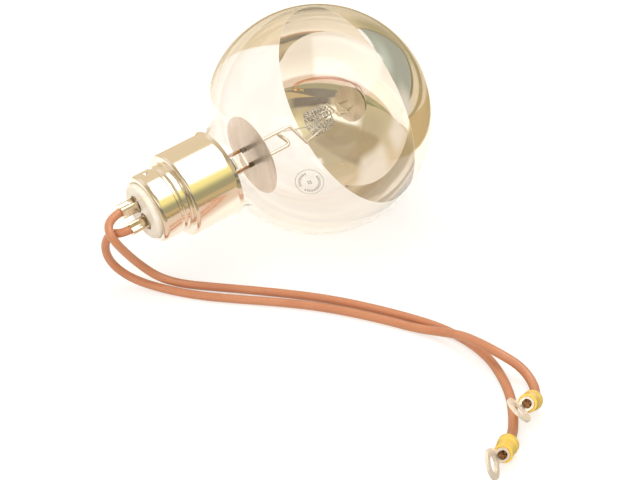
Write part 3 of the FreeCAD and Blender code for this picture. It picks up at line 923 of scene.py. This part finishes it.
@dataclass(frozen=True)
class SoftBox:
    """Square soft lamp that faces the object; what mirrors show of it is a panel of the room.

    Attributes:
        name: The lamp's name.
        place: Where it hangs, in metres.
        side_m: Its side.
        watts: Its power.
        tone: sRGB hex of its light.
    """

    name: str
    place: tuple[float, float, float]
    side_m: float
    watts: float
    tone: str = "#FFFCF8"

    def hang(self) -> None:
        """Hangs the lamp, unseen by mirrors and through glass."""
        light = bpy.data.lights.new(self.name, "AREA")
        light.size = self.side_m
        light.energy = self.watts
        light.color = linear(self.tone)[:3]
        lamp = bpy.data.objects.new(self.name, light)
        bpy.context.scene.collection.objects.link(lamp)
        lamp.location = self.place
        lamp.rotation_euler = (-Vector(self.place)).to_track_quat("-Z", "Y").to_euler()
        lamp.visible_glossy = False
        lamp.visible_transmission = False


@dataclass
class Studio:
    """Floor, world, lamps and camera.

    Attributes:
        focal_mm: The camera's lens.
        sensor_mm: Width of its sensor.
        camera_mm: Where the camera stands.
        looks: Which way it looks.
        floor_m: Side of the floor.
        paper: How much light the floor gives back.
        shown_paper: The same where camera, mirror or glass show it.
        lift: Light added there, so that the floor is white and its shadow faint.
        lift_tone: Its colour, which shows in the shadow alone.
        plain_tone: Colour of the light that matt surfaces get from all sides.
        plain_light: Its strength.
        far_tone: Colour of the room in front of the camera.
        near_tone: Colour of the room behind it.
        turnover: Share of the way to either side over which one turns to the other.
        panels: Areas of the room, each over the ones before it.
        zones: Stretches of the table in mirrors and glass, each over the ones before it.
        lamps: The soft lamps.
    """

    focal_mm: float = 67.5
    sensor_mm: float = 36.0
    camera_mm: tuple[float, float, float] = (-252.48, -363.41, 253.46)
    looks: tuple[float, float, float] = (0.52413, 0.68941, -0.5)
    floor_m: float = 3.0
    paper: float = 0.62
    shown_paper: float = 0.45
    lift: float = 0.66
    lift_tone: str = "#FFFAF4"
    plain_tone: str = "#FFFDFA"
    plain_light: float = 0.76
    far_tone: str = "#EEDCBC"
    near_tone: str = "#CFC0A0"
    turnover: float = 0.4
    panels: list[Panel] = field(default_factory=lambda: [
        Panel(118, 4, 34, 22, "#ADA683", 1.0, 0.25),
        Panel(118, 35, 34, 14, "#FFF2A0", 1.1, 0.75),
        Panel(172, -1, 20, 10, "#7E776E", 1.0, 0.2),
        Panel(-155, 16, 22, 8, "#FFFDF0", 1.3, 0.3),
        Panel(-135, 42, 34, 17, "#B7A687", 1.0, 0.2),
        Panel(-72, 38, 20, 14, "#FFF4E7", 1.0, 0.4),
        Panel(26, 14, 10, 17, "#BFB28C", 1.0, 0.7),
        Panel(55.5, 20.5, 26.2, 16.5, "#98906E", 1.0, 0.04),
        Panel(59, 24, 27, 17, "#FFFFFF", 1.2, 0.03),
        Panel(57, 22.5, 26, 15.5, "#B3B6A8", 1.0, 0.05),
        Panel(62, 32, 18, 5, "#CDD4C8", 1.0, 0.9),
        Panel(88, 66.5, 26, 27.8, "#FFFFFF", 2.2, 0.15),
        Panel(77, 6, 8, 9, "#E6E0D4", 1.0, 0.9),
        Panel(-80, 5, 12, 9, "#FFF6EA", 1.0, 0.6),
    ])
    zones: list[SheetZone] = field(default_factory=lambda: [
        SheetZone(180, 30, 16, "#F3DCC6"),
        SheetZone(180, 88, 12, "#ADA683"),
        SheetZone(165, 168, 10, "#857D70"),
        SheetZone(90, 138, 12, "#D3BA8A"),
        SheetZone(0, 236, 6, "#EFDBB8", True),
        SheetZone(25, 480, 60, "#BBA87C"),
    ])
    lamps: tuple[SoftBox, ...] = (
        SoftBox("soft_box_above", (0.1, 0.1, 0.9), 0.7, 2.8),
        SoftBox("soft_box_beside_camera", (-0.55, -0.45, 0.4), 0.4, 2.2),
    )

    def heading(self) -> Vector:
        """Gives the level direction that the camera faces."""
        return Vector((self.looks[0], self.looks[1], 0)).normalized()

    def room(self) -> None:
        """Builds the world: white for the camera, plain light for matt surfaces, a room for mirrors."""
        world = bpy.data.worlds.new("studio")
        bpy.context.scene.world = world
        world.use_nodes = True
        tree = world.node_tree
        tree.nodes.clear()
        place = add_node(tree, "ShaderNodeTexCoord")
        way = place.outputs["Generated"]
        ahead = add_node(tree, "ShaderNodeVectorMath", {"operation": "DOT_PRODUCT", 1: self.heading()},
                         {0: way})
        blend = add_node(tree, "ShaderNodeMapRange",
                         {"interpolation_type": "SMOOTHSTEP", "From Min": -self.turnover,
                          "From Max": self.turnover}, {"Value": ahead.outputs["Value"]})
        tone = add_node(tree, "ShaderNodeMix", {"data_type": "RGBA", 6: linear(self.near_tone),
                                                7: linear(self.far_tone)}, {0: blend.outputs[0]})
        colour = tone.outputs[2]
        for panel in self.panels:
            light = [c * panel.strength for c in linear(panel.colour)[:3]] + [1.0]
            mix = add_node(tree, "ShaderNodeMix", {"data_type": "RGBA", 7: light},
                           {0: panel.mask(tree, way, self.heading()), 6: colour})
            colour = mix.outputs[2]
        shiny = add_node(tree, "ShaderNodeBackground", links={"Color": colour})
        plain = add_node(tree, "ShaderNodeBackground",
                         {"Color": linear(self.plain_tone), "Strength": self.plain_light})
        white = add_node(tree, "ShaderNodeBackground", {"Color": (1, 1, 1, 1)})
        lit = add_node(tree, "ShaderNodeMixShader", links={
            0: mirrored(tree), 1: plain.outputs[0], 2: shiny.outputs[0]})
        path = add_node(tree, "ShaderNodeLightPath")
        clear = add_node(tree, "ShaderNodeMath", {"operation": "SUBTRACT", "use_clamp": True}, {
            0: path.outputs[Ray.TRANSMISSION.value], 1: mirrored(tree)})
        bare = add_node(tree, "ShaderNodeMath", {"operation": "MAXIMUM"}, {
            0: path.outputs[Ray.CAMERA.value], 1: clear.outputs[0]})
        final = add_node(tree, "ShaderNodeMixShader", links={
            0: bare.outputs[0], 1: lit.outputs[0], 2: white.outputs[0]})
        add_node(tree, "ShaderNodeOutputWorld", links={"Surface": final.outputs[0]})

    def floor(self) -> None:
        """Lays a white floor that keeps a faint shadow; mirrors and glass see it end as a table does."""
        half = self.floor_m / 2
        mesh = bpy.data.meshes.new("studio_floor")
        corners = [(-half, -half, 0), (half, -half, 0), (half, half, 0), (-half, half, 0)]
        mesh.from_pydata(corners, [], [(0, 1, 2, 3)])
        plane = bpy.data.objects.new("studio_floor", mesh)
        bpy.context.scene.collection.objects.link(plane)
        made = bpy.data.materials.new("matt_white_paper")
        made.use_nodes = True
        tree = made.node_tree
        tree.nodes.clear()
        path = add_node(tree, "ShaderNodeLightPath")
        shown = add_node(tree, "ShaderNodeMath", {"operation": "MAXIMUM"}, {
            0: either_ray(tree, Ray.GLOSSY, Ray.TRANSMISSION), 1: path.outputs[Ray.CAMERA.value]})
        grey = add_node(tree, "ShaderNodeMapRange", {"To Min": self.paper, "To Max": self.shown_paper},
                        {"Value": shown.outputs[0]})
        paper = add_node(tree, "ShaderNodeBsdfDiffuse", links={"Color": grey.outputs[0]})
        added = add_node(tree, "ShaderNodeMath", {"operation": "MULTIPLY", 1: self.lift},
                         {0: shown.outputs[0]})
        glow = add_node(tree, "ShaderNodeEmission", {"Color": linear(self.lift_tone)},
                        {"Strength": added.outputs[0]})
        surface = add_node(tree, "ShaderNodeAddShader", links={0: paper.outputs[0], 1: glow.outputs[0]})
        for zone in self.zones:
            room = add_node(tree, "ShaderNodeEmission", {"Color": linear(zone.colour)})
            surface = add_node(tree, "ShaderNodeMixShader", links={
                0: zone.mask(tree, self.heading()), 1: surface.outputs[0], 2: room.outputs[0]})
        add_node(tree, "ShaderNodeOutputMaterial", links={"Surface": surface.outputs[0]})
        mesh.materials.append(made)

    def camera(self) -> None:
        """Sets the camera at the photograph's place."""
        data = bpy.data.cameras.new("camera")
        data.lens = self.focal_mm
        data.sensor_width = self.sensor_mm
        data.clip_start = 0.01
        camera = bpy.data.objects.new("camera", data)
        bpy.context.scene.collection.objects.link(camera)
        camera.location = Vector(self.camera_mm) * MM
        camera.rotation_euler = Vector(self.looks).to_track_quat("-Z", "Y").to_euler()
        bpy.context.scene.camera = camera

    def build(self) -> None:
        """Sets up everything that is not the lamp."""
        self.room()
        self.floor()
        for lamp in self.lamps:
            lamp.hang()
        self.camera()
        bpy.context.scene.view_settings.view_transform = "Standard"


def main() -> None:
    """Builds the looks in order."""
    logging.basicConfig(level=logging.INFO, format="%(message)s")
    Studio().build()
    for assembly in (ENVELOPE, CAP, STEM, MOUNT, LEAD_ENDS):
        assembly.dress()
    for lead in (UPPER_LEAD, LOWER_LEAD):
        lead.build()
    CoilCage().build()
    GlassStamp().build()


if __name__ == "__main__":
    main()
